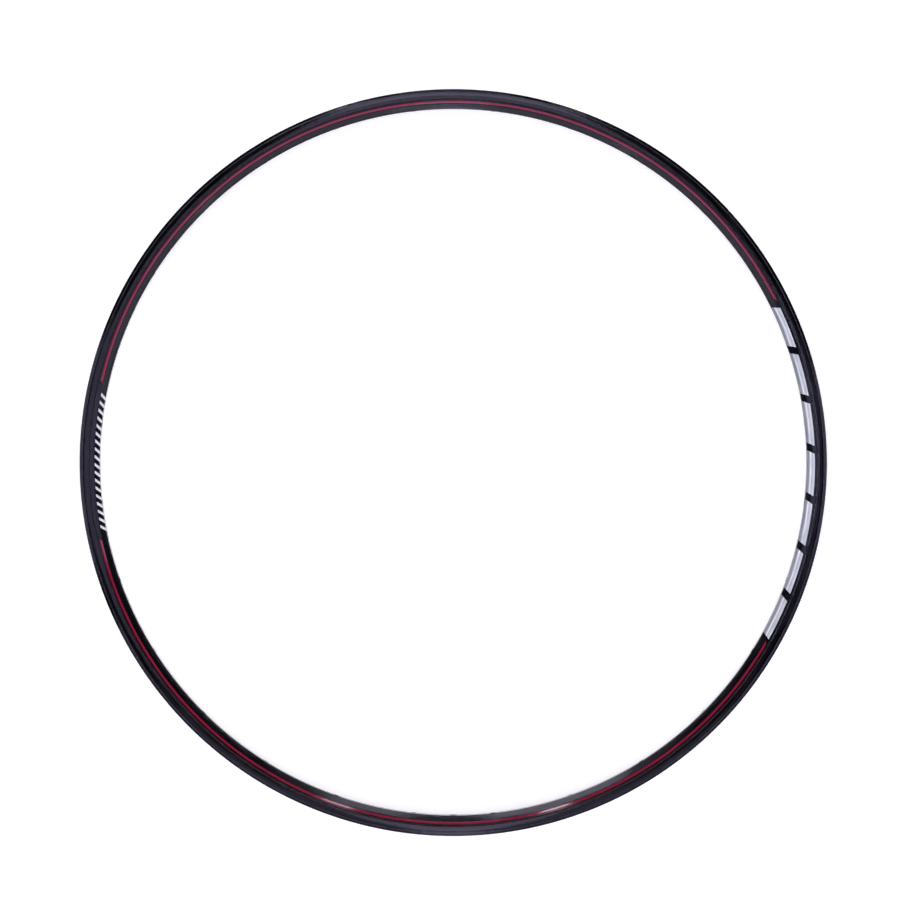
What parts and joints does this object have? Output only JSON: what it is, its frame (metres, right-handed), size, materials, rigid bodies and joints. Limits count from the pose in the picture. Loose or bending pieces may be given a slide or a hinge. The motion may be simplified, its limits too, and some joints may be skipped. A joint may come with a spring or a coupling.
{
  "type": "bicycle rim",
  "caption": "Wide, shallow single-wall bicycle rim with hookless lips, a drop-centre well, leaned spoke holes and a valve hole, in satin black with printed bands.",
  "frame": {"origin": "the wheel's centre, on the rim's middle plane", "axes": "+Z along the wheel axis, up from the side that the rim lies on; the valve hole is at -Y"},
  "size_m": [0.6329, 0.633, 0.038],
  "materials": {
    "moulded_carbon": "satin",
    "red_print": "gloss",
    "silver_print": "satin",
    "white_print": "satin"
  },
  "bodies": {
    "root": {"rim": "moulded_carbon"}
  },
  "joints": []
}
